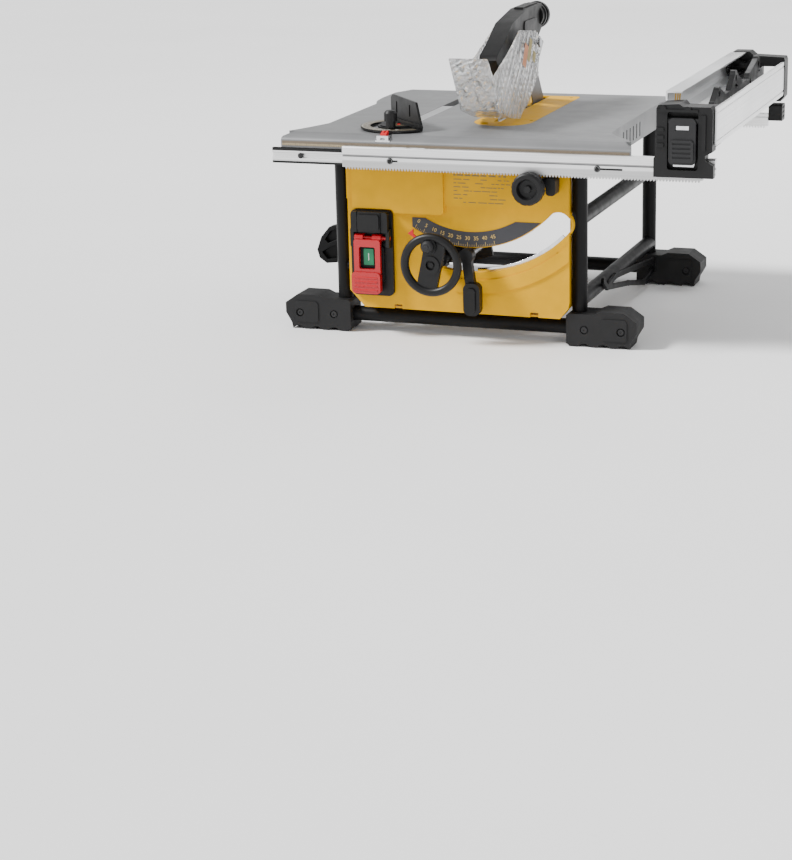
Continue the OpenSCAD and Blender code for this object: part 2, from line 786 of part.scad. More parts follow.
// ---------- arbor carriage ----------
module carriage() {
  color(steel) place() difference() {
    union() {
      along_x(-3, 6) {
        rrect([64, 232], [412, 276], 4);
        dot([arbor_y, arbor_z], 26);
        translate([196, 262]) square([52, 30]);
      }
      box([-38, 64, 232], [16, 92, 276]);
      box([-12, 388, 232], [16, 412, 276]);
      box([6, 340, 236], [26.9, 384, 274]);
      box([29.1, 344, 240], [34, 380, 270]);
      along_x(26, 30) for (z = [244, 266]) dot([362, z], 3.5);
    }
    for (y = [front_rod_y, rear_rod_y]) translate([rod_x, y, 220]) cylinder(r = 7.06, h = 80, $fn = 64);
    translate([wheel_x, front_rod_y, 220]) cylinder(r = 6.06, h = 80, $fn = 64);
    along_x(-10, 20) dot([arbor_y, arbor_z], 12);
  }
}

module blade_shroud() {
  color(black) place() difference() {
    along_x(10, 41) intersection() {
      dot([arbor_y, arbor_z], 114.5);
      translate([60, 100]) square([320, 215]);
    }
    along_x(12.6, 38.4) dot([arbor_y, arbor_z], 111.5);
    along_x(5, 50) dot([arbor_y, arbor_z], 25);
    box([22, 300, 226], [42, 400, 330]);
    along_y(300, 380) dot([25.5, 200], 14);
    box([38, 100, table_z - 30], [50, 380, table_z + 20]);
  }
  color(black) place() difference() {
    union() {
      along_y(300, 336) rrect([10, 184], [41, 216], 4);
      along_y(336, 384) dot([28.5, 200], 21);
    }
    along_y(290, 336.5) dot([25.5, 200], 14);
    along_y(336.4, 390) dot([28.5, 200], 18);
    along_x(-10, 60) dot([arbor_y, arbor_z], 111.5);
  }
}

module motor_housing() {
  y = arbor_y;
  color(black) place() difference() {
    union() {
      along_x(-150, -21) dot([y, motor_z], 43);
      along_x(-158, -150) dot([y, motor_z], 38);
      for (a = [15 : 30 : 345]) {
        along_x(-146, -60) translate([y, motor_z]) rotate(a) translate([40, -1.5]) square([5, 3]);
      }
    }
    along_x(-150, -26) dot([y, motor_z], 36);
    along_x(-160, 0) dot([y, motor_z], 5.06);
    along_x(-159, -154) for (r = [14, 22, 30]) {
      translate([y, motor_z]) difference() {
        circle(r + 2.4);
        circle(r);
      }
    }
  }
}

module motor_rotor() {
  y = arbor_y;
  color(steel) place() {
    along_x(-154, -4.4) dot([y, motor_z], 5);
    along_x(-122, -44) dot([y, motor_z], 26);
    along_x(-142, -130) dot([y, motor_z], 30);
    along_x(-16, -8) translate([y, motor_z]) rotate(90) polygon(gear_points(1.25, 10, 0.1));
  }
}

module gear_case() {
  y = arbor_y;
  color(steel) place() difference() {
    along_x(-21, -3) {
      dot([y, arbor_z], 28.5);
      dot([y, motor_z], 30);
    }
    along_x(-18, -6) {
      dot([y, arbor_z], 26);
      dot([y, motor_z], 9);
    }
    along_x(-30, 0) dot([y, arbor_z], 8.06);
    along_x(-30, -4) dot([y, motor_z], 5.06);
  }
}

module arbor() {
  y = arbor_y;
  color(steel) place() {
    along_x(-20.4, 41) dot([y, arbor_z], 8);
    along_x(6.6, 22) dot([y, arbor_z], 11);
    along_x(22, 27) dot([y, arbor_z], 21);
    along_x(-16, -8) difference() {
      translate([y, arbor_z]) rotate(-90 + 360 / 38 / 2) polygon(gear_points(1.25, 38, 0.1));
      dot([y, arbor_z], 7.9);
    }
  }
}

// Saw blade: raker-backed teeth, expansion slots, arbor hole.
module blade() {
  r = blade_d / 2;
  step = 360 / blade_teeth;
  rim = [for (k = [0 : blade_teeth - 1]) each
    let (a = k * step)
    [spin(r, a), spin(r - 2.5, a + step * 0.3), spin(r - 5, a + step * 0.62), spin(r - 13, a + step * 0.8),
      spin(r - 13, a + step * 0.92)]];
  color(silver) place() along_x(27.1, 28.9) translate([arbor_y, arbor_z]) difference() {
    polygon(rim);
    circle(8.04);
    for (a = [10 : 90 : 280]) rotate(a) {
      translate([r - 30, -0.6]) square([22, 1.2]);
      translate([r - 30, 0]) circle(2, $fn = 24);
    }
  }
}

module arbor_nut() {
  color(steel) place() difference() {
    union() {
      along_x(29, 33.5) dot([arbor_y, arbor_z], 21);
      along_x(33.5, 40) translate([arbor_y, arbor_z]) circle(12.5, $fn = 6);
    }
    along_x(28, 42) dot([arbor_y, arbor_z], 8.02);
  }
}

module riving_knife() {
  color(dark) place() along_x(27, 29) difference() {
    polygon([[326, 338], [333, 310], [336, 240], [384, 240], [392, 300], [390, 330], [386, 344], [352, 391],
      [330, 428], [322, 460], [296, 464], [284, 432], [270, 402], [300, 376]]);
    dot([arbor_y, arbor_z], 110);
    for (z = [244, 266]) dot([362, z], 3.6);
    dot([309, 452], 4);
  }
}

// ---------- blade guard ----------
module duct_outline() {
  polygon([[72, 444], [78, 452], [108, 464], [163, 494], [248, 509], [332, 510], [332, 469], [305, 452],
    [250, 444], [176, 444], [150, 434], [114, 409], [104, 411]]);
}

// Air space inside the duct, open below over the blade.
module duct_space() {
  polygon([[150, 460], [172, 486], [246, 503], [332, 504], [332, 474], [303, 440], [186, 436], [150, 452]]);
}

module guard_duct() {
  color(black) place() difference() {
    union() {
      along_x(13, 43) duct_outline();
      translate([28, 322, port_z]) rotate([-92, 0, 0]) {
        cylinder(r = 20.5, h = 34);
        translate([0, 0, 24]) cylinder(r = 23.5, h = 9);
        translate([0, 0, 12.5]) cylinder(r = 22.5, h = 5);
      }
      box([20, 246, 508], [36, 330, 511.5]);
      for (x = [11.2, 43]) along_x(x, x + 1.8) rrect([226, 447], [300, 490], 8);
    }
    difference() {
      along_x(16, 40) duct_space();
      box([12, 296, 430], [26.9, 330, 472]);
      box([29.1, 296, 430], [44, 330, 472]);
    }
    translate([28, 322, port_z]) rotate([-92, 0, 0]) translate([0, 0, 8.2]) cylinder(r = 17.5, h = 100);
    along_x(0, 60) dot([guard_y, guard_z], 4.06);
  }
}

module guard_pin() {
  color(steel) place() {
    along_x(-6, 62) dot([guard_y, guard_z], 4);
    along_x(62, 65) dot([guard_y, guard_z], 8);
    along_x(-9, -6) dot([guard_y, guard_z], 9);
  }
}

module guard_bush() {
  color(black) place() difference() {
    along_x(-5.6, 1) dot([guard_y, guard_z], 7.5);
    along_x(-7, 2) dot([guard_y, guard_z], 4.06);
  }
}

module shield_outline(top) {
  polygon(concat([[-30, 460], [5, 426]], top, [[284, 450], [262, 428], [251, 398], [206, 366], [144, 339.5],
    [98, 347], [28, 368]]));
}

module shield(x, inward, bore, top) {
  out = inward > 0 ? x - 1.2 : x + 2.4;
  front = inward > 0 ? [x + 2.4, 27.6] : [28.4, x];
  color(clear) place() difference() {
    union() {
      along_x(x, x + 2.4) shield_outline(top);
      along_x(out, out + 1.2) intersection() {
        shield_outline(top);
        union() {
          for (k = [0 : 9]) strip([-40 + 26 * k, 340], [100 + 26 * k, 480], 6);
          strip([-30, 458], [28, 370], 8);
          strip([28, 371], [98, 350], 8);
          strip([98, 350], [144, 343], 8);
        }
      }
      along_x(front[0], front[1]) intersection() {
        shield_outline(top);
        strip([-29, 462], [30, 366], 5);
      }
      along_x(front[0], front[1]) intersection() {
        shield_outline(top);
        strip([28, 369.6], [98, 348.6], 4);
      }
      along_x(x, x + 2.4) dot([guard_y, guard_z], 13);
    }
    along_x(x - 3, x + 6) dot([guard_y, guard_z], bore);
  }
}

module guard_left() {
  shield(-3.2, 1, 7.56, [[46, 430], [124, 454], [214, 485], [246, 474]]);
}

module guard_right() {
  shield(57.2, -1, 4.06, [[87, 454], [152, 484], [239, 474]]);
}

// ---------- switch ----------
module switch_plate() {
  y = panel_y;
  color(black) place() difference() {
    union() {
      along_y(y - 7, y) rrect([-177, 68], [-104, 211], 9);
      along_y(y - 20, y - 7) rrect([-172, 176], [-108, 210], 5);
      along_y(y - 23, y - 20) rrect([-160, 180], [-122, 206], 4);
      for (x = [-174, -112]) along_x(x, x + 6) rrect([y - 18, 150], [y - 6, 182], 4);
      along_y(y - 12, y - 7) rrect([-164, 92], [-118, 152], 4);
      along_y(y, y + 22) rrect([-166, 82], [-114, 158], 5);
    }
    along_y(y - 16, y + 18) rrect([-153.6, 119.4], [-134.4, 148.6], 2);
    for (x = [-161.5, -120.5]) box([x, y - 24, 176], [x + 2, y - 18, 212]);
    along_x(-176, -104) dot([y - 12, 166], 3.06);
    box([-167.7, y - 20, 157], [-112.3, y - 4.6, 175.6]);
  }
}

module stop_paddle() {
  y = panel_y;
  color(red) place() difference() {
    union() {
      along_x(-174, -106) dot([y - 12, 166], 3);
      along_x(-167, -152) dot([y - 12, 166], 7);
      along_x(-136, -121) dot([y - 12, 166], 7);
      along_y(y - 22, y - 15) rrect([-167, 106], [-121, 164], 4);
      along_y(y - 25, y - 15) rrect([-171, 74], [-121, 110], 7);
      for (z = [80 : 7 : 101]) along_x(-166, -126) dot([y - 24, z], 2.2);
    }
    along_y(y - 30, y - 10) rrect([-158, 115], [-130, 152], 3);
  }
}

module start_button() {
  y = panel_y;
  color(green) place() along_y(y - 14, y + 10) rrect([-153, 120], [-135, 148], 2);
}

// ---------- mitre gauge ----------
module mitre_bar() {
  z = table_z;
  color(silver) place() {
    difference() {
      along_y(-61.5, 267) {
        translate([mitre_x - 9.95, z - 8]) square([19.9, 7.7]);
        translate([mitre_x - 12.4, z - 10.4]) square([24.8, 2.8]);
      }
      translate([mitre_x, mitre_y - 42, z - 9]) cylinder(r = 3.56, h = 20, $fn = 48);
      along_y(-70, -52) translate([mitre_x - 4, z - 7]) square([8, 4]);
    }
    translate([mitre_x, mitre_y, z - 1]) cylinder(r = 4, h = 7.5, $fn = 48);
  }
  color(red) place() difference() {
    along_x(mitre_x - 5, mitre_x + 5) polygon([[-57, z - 1], [-57, z + 2], [-46, z + 6], [-45.2, z + 6],
      [-45.2, z - 1]]);
    box([mitre_x - 1, -58, z + 3], [mitre_x + 1, -44, z + 8]);
  }
}

// Protractor disc and face plate, turned to the 45 degree detent.
module mitre_head() {
  z = table_z;
  color(black) place() translate([mitre_x, mitre_y, 0]) rotate(mitre_turn) difference() {
    union() {
      along_z(z + 2.4, z + 5.2) intersection() {
        circle(64, $fn = 180);
        translate([-90, -90]) square([180, 102]);
      }
      along_z(z + 5.2, z + 7) difference() {
        dot([0, 0], 32);
        dot([0, 0], 23);
        translate([-50, 12]) square([100, 60]);
      }
      along_y(8, 12) polygon([[-50, z + 1], [62, z + 1], [64, z + 8], [45, z + 46], [-45, z + 49], [-50, z + 44]]);
      along_y(4, 8) polygon([[-50, z + 1], [62, z + 1], [64, z + 8], [60, z + 13], [-50, z + 13]]);
      along_y(-1, 4) polygon([[-44, z + 5], [56, z + 5], [54, z + 8], [-42, z + 8]]);
    }
    translate([0, 0, z]) cylinder(r = 4.06, h = 10, $fn = 48);
    along_z(z, z + 10) {
      intersection() {
        difference() {
          circle(48);
          circle(36);
        }
        polygon([[0, 0], [-88, -48], [-70, -100], [70, -100], [88, -48]]);
      }
      for (a = [-151, -29]) rotate(a) dot([42, 0], 6);
    }
    for (x = [-30, 20]) along_y(0, 14) rrect([x, z + 20], [x + 5, z + 40], 2.4);
  }
}

module mitre_knob() {
  color(black) place() translate([mitre_x, mitre_y - 42, table_z]) {
    translate([0, 0, -6]) cylinder(r = 3.5, h = 16, $fn = 48);
    translate([0, 0, 7.6]) cylinder(r = 8, h = 13);
    difference() {
      union() {
        translate([0, 0, 18]) cylinder(r = 10.8, h = 13);
        translate([0, 0, 31]) cylinder(r1 = 10.8, r2 = 7.5, h = 4);
      }
      for (a = [0 : 60 : 300]) rotate(a) translate([13.6, 0, 17]) cylinder(r = 3.4, h = 24, $fn = 24);
    }
  }
}

posts_front();
posts_rear();
cross_tubes();
side_tubes_lower();
side_tubes_upper();
foot_front_left();
foot_front_right();
foot_rear_left();
foot_rear_right();
foot_screws();
storage_hook();
storage_loop();
table_top();
throat_insert();
front_fixed_rail();
rear_fixed_rail();
front_slide_rail();
rear_slide_rail();
slide_end_cap();
pinion_shaft();
adjust_knob();
rail_lock_lever();
fence_beam();
fence_face();
fence_head_front();
fence_head_rear();
fence_latch_front();
fence_latch_rear();
push_stick();
front_panel();
bevel_scale();
bevel_track();
trunnions();
tilt_frame();
guide_rods();
lead_screw();
handwheel();
crank_knob();
bevel_lock_lever();
bevel_pointer();
carriage();
blade_shroud();
motor_housing();
motor_rotor();
gear_case();
arbor();
blade();
arbor_nut();
riving_knife();
guard_duct();
guard_pin();
guard_bush();
guard_left();
guard_right();
switch_plate();
stop_paddle();
start_button();
mitre_bar();
mitre_head();
mitre_knob();
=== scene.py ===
import json
import math
import random

import bpy
from mathutils import Matrix, Vector


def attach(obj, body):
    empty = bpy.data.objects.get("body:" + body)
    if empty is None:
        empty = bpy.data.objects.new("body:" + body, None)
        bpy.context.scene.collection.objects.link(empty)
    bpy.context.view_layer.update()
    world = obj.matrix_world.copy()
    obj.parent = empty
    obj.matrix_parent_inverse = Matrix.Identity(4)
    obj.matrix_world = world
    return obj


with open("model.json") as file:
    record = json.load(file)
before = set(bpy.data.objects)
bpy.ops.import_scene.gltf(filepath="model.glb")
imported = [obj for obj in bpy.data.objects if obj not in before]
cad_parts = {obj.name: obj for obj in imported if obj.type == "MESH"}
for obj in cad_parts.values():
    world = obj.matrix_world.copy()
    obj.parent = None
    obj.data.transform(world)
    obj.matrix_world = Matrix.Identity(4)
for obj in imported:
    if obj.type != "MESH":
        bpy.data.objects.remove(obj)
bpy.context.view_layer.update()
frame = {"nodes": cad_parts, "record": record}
NODES = frame["nodes"]
MM = 0.001
ORIGIN = (68.5, 199.7)  # the design's post centreline lies this far left and in front of the row origin
TABLE_Z = 338.0
TILT = (28.0, 338.0)


def at(x, y, z):
    """A point of the design, in mm from the front posts' centreline, as metres in the row frame."""
    return Vector(((x - ORIGIN[0]) * MM, (y - ORIGIN[1]) * MM, z * MM))


# ---------------------------------------------------------------- materials
def nodes_of(name):
    m = bpy.data.materials.new(name)
    m.use_nodes = True
    t = m.node_tree
    t.nodes.clear()
    out = t.nodes.new("ShaderNodeOutputMaterial")
    p = t.nodes.new("ShaderNodeBsdfPrincipled")
    t.links.new(p.outputs[0], out.inputs[0])
    return m, t, p


def coords(t, scale=(1, 1, 1)):
    c = t.nodes.new("ShaderNodeTexCoord")
    mp = t.nodes.new("ShaderNodeMapping")
    mp.inputs["Scale"].default_value = scale
    t.links.new(c.outputs["Object"], mp.inputs["Vector"])
    return mp.outputs["Vector"]


def noise(t, vec, scale, detail=3.0, rough=0.55):
    n = t.nodes.new("ShaderNodeTexNoise")
    n.inputs["Scale"].default_value = scale
    n.inputs["Detail"].default_value = detail
    n.inputs["Roughness"].default_value = rough
    t.links.new(vec, n.inputs["Vector"])
    return n.outputs["Fac"]


def ramp(t, fac, stops):
    r = t.nodes.new("ShaderNodeValToRGB")
    e = r.color_ramp.elements
    while len(e) < len(stops):
        e.new(0.5)
    for k, (pos, col) in enumerate(stops):
        e[k].position = pos
        e[k].color = (*col, 1.0) if len(col) == 3 else col
    t.links.new(fac, r.inputs["Fac"])
    return r.outputs["Color"]


def remap(t, fac, lo, hi):
    r = t.nodes.new("ShaderNodeMapRange")
    r.inputs["From Min"].default_value = 0.3
    r.inputs["From Max"].default_value = 0.7
    r.inputs["To Min"].default_value = lo
    r.inputs["To Max"].default_value = hi
    t.links.new(fac, r.inputs["Value"])
    return r.outputs["Result"]


def bump(t, p, height, strength, distance):
    b = t.nodes.new("ShaderNodeBump")
    b.inputs["Strength"].default_value = strength
    b.inputs["Distance"].default_value = distance
    t.links.new(height, b.inputs["Height"])
    t.links.new(b.outputs["Normal"], p.inputs["Normal"])


def shade(c, k):
    return tuple(max(0.0, min(1.0, v * k)) for v in c)


def zone(t, axis, limit, above, below):
    """Two colours that meet at a plane of the object, for a moulding and a metal part in one node."""
    c = t.nodes.new("ShaderNodeTexCoord")
    s = t.nodes.new("ShaderNodeSeparateXYZ")
    g = t.nodes.new("ShaderNodeMath")
    g.operation = "GREATER_THAN"
    g.inputs[1].default_value = limit
    t.links.new(c.outputs["Object"], s.inputs["Vector"])
    t.links.new(s.outputs[axis], g.inputs[0])
    mx = t.nodes.new("ShaderNodeMix")
    mx.data_type = "RGBA"
    t.links.new(g.outputs[0], mx.inputs["Factor"])
    t.links.new(below, mx.inputs["A"])
    t.links.new(above, mx.inputs["B"])
    return mx.outputs["Result"], g.outputs[0]


def moulded(name, colour, rough=0.45, grain=1400.0, depth=0.00006, spread=0.12,
            coat=0.0, spec=0.3):
    """Spark-textured plastic or powder coat: fine grain, faint blotches of tone, uneven gloss."""
    m, t, p = nodes_of(name)
    v = coords(t)
    blotch = noise(t, v, 9.0, 4.0)
    fine = noise(t, v, grain, 2.0)
    col = ramp(t, blotch, [(0.3, shade(colour, 1 - spread)), (0.7, shade(colour, 1 + spread))])
    t.links.new(col, p.inputs["Base Color"])
    t.links.new(remap(t, noise(t, v, 45.0, 4.0), rough - 0.06, rough + 0.08), p.inputs["Roughness"])
    bump(t, p, fine, 0.35, depth)
    p.inputs["Specular IOR Level"].default_value = spec
    if coat:
        p.inputs["Coat Weight"].default_value = coat
        p.inputs["Coat Roughness"].default_value = 0.2
    return m


def brushed(name, colour, rough=0.32, along=0, metallic=1.0, fine=900.0):
    """Drawn or brushed metal: fine lines along one axis in tone, gloss and height."""
    m, t, p = nodes_of(name)
    scale = [fine, fine, fine]
    scale[along] = 3.0
    lines = noise(t, coords(t, tuple(scale)), 1.0, 4.0, 0.6)
    cloud = noise(t, coords(t), 6.0, 3.0)
    col = ramp(t, lines, [(0.25, shade(colour, 0.86)), (0.75, shade(colour, 1.06))])
    t.links.new(col, p.inputs["Base Color"])
    t.links.new(remap(t, cloud, rough - 0.05, rough + 0.1), p.inputs["Roughness"])
    p.inputs["Metallic"].default_value = metallic
    bump(t, p, lines, 0.12, 0.00008)
    return m


def rail_metal(name, bands):
    """Brushed rail with painted shade and painted highlight for its drawn profile: brightness changes at
    heights given in mm.
    """
    m = brushed(name, (0.95, 0.955, 0.96), 0.34, 0)
    t = m.node_tree
    p = next(n for n in t.nodes if n.type == "BSDF_PRINCIPLED")
    c = t.nodes.new("ShaderNodeTexCoord")
    sep = t.nodes.new("ShaderNodeSeparateXYZ")
    t.links.new(c.outputs["Object"], sep.inputs["Vector"])
    r = t.nodes.new("ShaderNodeMapRange")
    r.inputs["From Min"].default_value = 0.28
    r.inputs["From Max"].default_value = 0.33
    t.links.new(sep.outputs["Z"], r.inputs["Value"])
    # painted shade and highlight: brightness by height, multiplied into the brushed colour
    tone = ramp(t, r.outputs["Result"], [((z * MM - 0.28) / 0.05, (k, k, k)) for z, k in bands])
    mx = t.nodes.new("ShaderNodeMix")
    mx.data_type = "RGBA"
    mx.blend_type = "MULTIPLY"
    mx.inputs["Factor"].default_value = 1.0
    t.links.new(p.inputs["Base Color"].links[0].from_socket, mx.inputs["A"])
    t.links.new(tone, mx.inputs["B"])
    t.links.new(mx.outputs["Result"], p.inputs["Base Color"])
    return m


def machined(name, colour, rough=0.3):
    m, t, p = nodes_of(name)
    v = coords(t)
    col = ramp(t, noise(t, v, 60.0, 5.0), [(0.3, shade(colour, 0.82)), (0.7, shade(colour, 1.08))])
    t.links.new(col, p.inputs["Base Color"])
    t.links.new(remap(t, noise(t, v, 220.0, 3.0), rough - 0.08, rough + 0.1), p.inputs["Roughness"])
    p.inputs["Metallic"].default_value = 1.0
    bump(t, p, noise(t, v, 700.0, 2.0), 0.15, 0.00005)
    return m


def cast_table(name):
    """Coated cast top: fine pebble, a faint sheen, machining lines from front to back."""
    m, t, p = nodes_of(name)
    v = coords(t)
    col = ramp(t, noise(t, v, 5.0, 5.0), [(0.3, (0.165, 0.167, 0.17)), (0.7, (0.225, 0.227, 0.23))])
    t.links.new(col, p.inputs["Base Color"])
    lines = noise(t, coords(t, (1100.0, 6.0, 1100.0)), 1.0, 3.0)
    t.links.new(remap(t, noise(t, v, 30.0, 4.0), 0.4, 0.52), p.inputs["Roughness"])
    p.inputs["Metallic"].default_value = 0.25
    bump(t, p, lines, 0.12, 0.00006)
    return m


def clear_plastic(name):
    """Clear guard with painted highlights and painted shade: white and grey streaks in the base colour of
    the clear plastic, and a crossed wave pressed into it.
    """
    m, t, p = nodes_of(name)
    v = coords(t)
    painted_highlight_streak = noise(t, coords(t, (46.0, 46.0, 18.0)), 1.0, 5.0, 0.65)
    height = None
    for slope in (1.0, -1.0):
        w = t.nodes.new("ShaderNodeTexWave")
        w.wave_type = "BANDS"
        w.bands_direction = "DIAGONAL"
        w.inputs["Scale"].default_value = 34.0
        w.inputs["Distortion"].default_value = 2.4
        w.inputs["Detail"].default_value = 2.0
        w.inputs["Detail Scale"].default_value = 2.0
        t.links.new(coords(t, (slope, slope, 1.0)), w.inputs["Vector"])
        if height is None:
            height = w.outputs["Fac"]
        else:
            mx = t.nodes.new("ShaderNodeMath")
            mx.operation = "MULTIPLY"
            t.links.new(height, mx.inputs[0])
            t.links.new(w.outputs["Fac"], mx.inputs[1])
            height = mx.outputs[0]
    both = t.nodes.new("ShaderNodeMath")
    both.operation = "MULTIPLY_ADD"
    both.inputs[1].default_value = 0.45
    t.links.new(height, both.inputs[0])
    t.links.new(painted_highlight_streak, both.inputs[2])
    # painted highlights and painted shade: grey to white over the wave ribs and streaks
    stops = [(0.36, (0.34, 0.35, 0.36)), (0.47, (0.82, 0.84, 0.85)), (0.62, (1.0, 1.0, 1.0))]
    tone = ramp(t, both.outputs[0], stops)
    t.links.new(tone, p.inputs["Base Color"])
    p.inputs["IOR"].default_value = 1.46
    # less transmission along the streaks, so the painted white and grey show
    t.links.new(remap(t, painted_highlight_streak, 0.97, 0.6), p.inputs["Transmission Weight"])
    t.links.new(remap(t, noise(t, v, 120.0, 4.0), 0.02, 0.12), p.inputs["Roughness"])
    bump(t, p, height, 0.9, 0.0025)
    return m


def flat_print(name, colour, rough=0.5):
    m, t, p = nodes_of(name)
    v = coords(t)
    col = ramp(t, noise(t, v, 300.0, 3.0), [(0.3, shade(colour, 0.9)), (0.7, shade(colour, 1.08))])
    t.links.new(col, p.inputs["Base Color"])
    p.inputs["Roughness"].default_value = rough
    return m


def two_zone(name, axis, limit, above, below, rough_above=0.45, rough_below=0.3,
             metal_above=0.0, metal_below=1.0, spec=0.3):
    """One node in two materials that meet at a plane across an axis."""
    m, t, p = nodes_of(name)
    v = coords(t)
    n = noise(t, v, 14.0, 4.0)
    a = ramp(t, n, [(0.3, shade(above, 0.88)), (0.7, shade(above, 1.1))])
    b = ramp(t, n, [(0.3, shade(below, 0.88)), (0.7, shade(below, 1.1))])
    col, fac = zone(t, axis, limit, a, b)
    p.inputs["Specular IOR Level"].default_value = spec
    t.links.new(col, p.inputs["Base Color"])
    for key, lo, hi in (("Roughness", rough_below, rough_above), ("Metallic", metal_below, metal_above)):
        r = t.nodes.new("ShaderNodeMapRange")
        r.inputs["To Min"].default_value = lo
        r.inputs["To Max"].default_value = hi
        t.links.new(fac, r.inputs["Value"])
        t.links.new(r.outputs["Result"], p.inputs[key])
    bump(t, p, noise(t, v, 1200.0, 2.0), 0.25, 0.00005)
    return m


BLACK = (0.006, 0.006, 0.0063)
YELLOW = (0.7, 0.365, 0.0)
STEEL = (0.5, 0.51, 0.53)

MAT = {
    "frame_black": moulded("frame_black", (0.005, 0.005, 0.0054), 0.42, 1800.0, 0.00003, 0.1, 0.0, 0.16),
    "plastic_black": moulded("plastic_black", BLACK, 0.42),
    "plastic_dark": moulded("plastic_dark", (0.018, 0.018, 0.019), 0.46),
    "rubber_black": moulded("rubber_black", (0.01, 0.01, 0.0105), 0.55, 1100.0, 0.00012),
    "table_grey": cast_table("table_grey"),
    "yellow": moulded("yellow", YELLOW, 0.45, 1500.0, 0.00004, 0.025, 0.0, 0.1),
    "insert_yellow": moulded("insert_yellow", (0.72, 0.38, 0.0), 0.45, 1500.0, 0.00004, 0.025, 0.0, 0.1),
    "aluminium": brushed("aluminium", (0.95, 0.955, 0.96), 0.34, 0),
    "aluminium_y": brushed("aluminium_y", (0.93, 0.935, 0.94), 0.3, 1),
    "steel": machined("steel", STEEL),
    "blade_steel": machined("blade_steel", (0.62, 0.63, 0.65), 0.22),
    "zinc": machined("zinc", (0.78, 0.79, 0.8), 0.12),
    "scale_grey": moulded("scale_grey", (0.045, 0.045, 0.05), 0.5),
    "red": moulded("red", (0.42, 0.004, 0.01), 0.25, 900.0, 0.00003, 0.06, 0.5),
    "green": moulded("green", (0.0, 0.2, 0.08), 0.3, 900.0, 0.00003, 0.06, 0.3),
    "clear": clear_plastic("clear"),
    "motor": moulded("motor", (0.03, 0.03, 0.032), 0.5),
    "knife": brushed("knife", (0.13, 0.13, 0.135), 0.4, 2, 0.7),
    "casting": machined("casting", (0.42, 0.43, 0.44), 0.45),
}
SLOTS = {s["node"]: s["material_slot"] for s in frame["record"]["subparts"]}
# Painted shade and painted highlight of the rails' drawn profiles, darker at the groove and the rack, bright
# on the faces: height in mm, brightness.
SLIDE_PAINTED_SHADE_BANDS = [(296, 0.62), (298.5, 0.7), (300, 1.0), (304.6, 0.95), (305.2, 0.35), (308.0, 0.35),
               (308.6, 1.0), (318, 1.0)]
FIXED_PAINTED_SHADE_BANDS = [(293, 0.7), (296, 1.0), (305, 0.92), (306, 0.6), (307, 0.98)]
TIP_RED = (0.6, 0.01, 0.015)
BRIGHT = (0.8, 0.81, 0.82)
SPECIAL = {
    "front_slide_rail": rail_metal("slide_rail_metal", SLIDE_PAINTED_SHADE_BANDS),
    "front_fixed_rail": rail_metal("fixed_rail_metal", FIXED_PAINTED_SHADE_BANDS),
    "fence_beam": MAT["aluminium_y"],
    "fence_face": MAT["aluminium_y"],
    "motor_housing": MAT["motor"],
    "riving_knife": MAT["knife"],
    "carriage": MAT["casting"],
    "gear_case": MAT["casting"],
    "trunnions": MAT["casting"],
    "handwheel": two_zone("wheel_and_shaft", "Y", at(0, -61.9, 0).y, STEEL, BLACK,
                          0.3, 0.42, 1.0, 0.0),
    "bevel_lock_lever": two_zone("lever_and_bolt", "Y", at(0, -46, 0).y, STEEL, BLACK,
                                 0.3, 0.42, 1.0, 0.0),
    "front_panel": two_zone("panel_and_inlet", "X", at(-184.1, 0, 0).x, YELLOW, BLACK,
                            0.45, 0.45, 0.0, 0.0, 0.1),
    "bevel_pointer": two_zone("pointer_and_tip", "X", at(-60, 0, 0).x, BLACK, TIP_RED,
                              0.42, 0.35, 0.0, 0.0),
    "mitre_bar": two_zone("bar_and_pointer", "Z", at(0, 0, 337.8).z, TIP_RED, BRIGHT,
                          0.35, 0.3, 0.0, 1.0),
}
# Rounded edge, in mm, put on each carried-over node.
EDGE = {"front_panel": 1.8, "foot_front_left": 2.2, "foot_front_right": 2.2, "foot_rear_left": 2.2,
        "foot_rear_right": 2.2, "switch_plate": 1.0, "stop_paddle": 0.9, "fence_head_front": 1.0,
        "fence_head_rear": 1.0, "fence_latch_front": 0.8, "table_top": 0.7, "front_slide_rail": 0.3,
        "rear_slide_rail": 0.3, "front_fixed_rail": 0.3, "rear_fixed_rail": 0.3, "guard_left": 0.35,
        "guard_right": 0.35, "guard_duct": 0.9, "pinion_shaft": 0.0, "arbor": 0.0, "blade": 0.0,
        "motor_rotor": 0.0, "riving_knife": 0.2, "bevel_scale": 0.0, "push_stick": 0.9, "slide_end_cap": 1.2,
        "handwheel": 0.6, "mitre_head": 0.5, "throat_insert": 0.4, "bevel_track": 0.2, "adjust_knob": 0.6}


def soften(o, width):
    """Welds a node's facets, drops the seams inside flat faces and rounds its edges."""
    w = o.modifiers.new("weld", "WELD")
    w.merge_threshold = 0.00001
    if width:
        d = o.modifiers.new("planar", "DECIMATE")
        d.decimate_type = "DISSOLVE"
        d.angle_limit = math.radians(0.6)
        b = o.modifiers.new("edge", "BEVEL")
        b.width = width * MM
        b.segments = 2
        b.limit_method = "ANGLE"
        b.angle_limit = math.radians(32)
        b.harden_normals = True
    n = o.modifiers.new("normals", "WEIGHTED_NORMAL")
    n.keep_sharp = False


for name, o in NODES.items():
    mat = SPECIAL.get(name, MAT.get(SLOTS[name]))
    for s in o.material_slots:
        s.material = mat
    if not o.material_slots:
        o.data.materials.append(mat)
    if EDGE.get(name, 0.5):
        soften(o, EDGE.get(name, 0.5))


# ---------------------------------------------------------------- mesh helpers
def mesh_piece(name, verts, faces, mat, body, bevel=0.0):
    me = bpy.data.meshes.new(name)
    me.from_pydata([tuple(v) for v in verts], [], faces)
    me.validate()
    me.update()
    o = bpy.data.objects.new(name, me)
    bpy.context.scene.collection.objects.link(o)
    o.data.materials.append(mat)
    if bevel:
        b = o.modifiers.new("edge", "BEVEL")
        b.width = bevel * MM
        b.segments = 2
        b.limit_method = "ANGLE"
    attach(o, body)
    return o


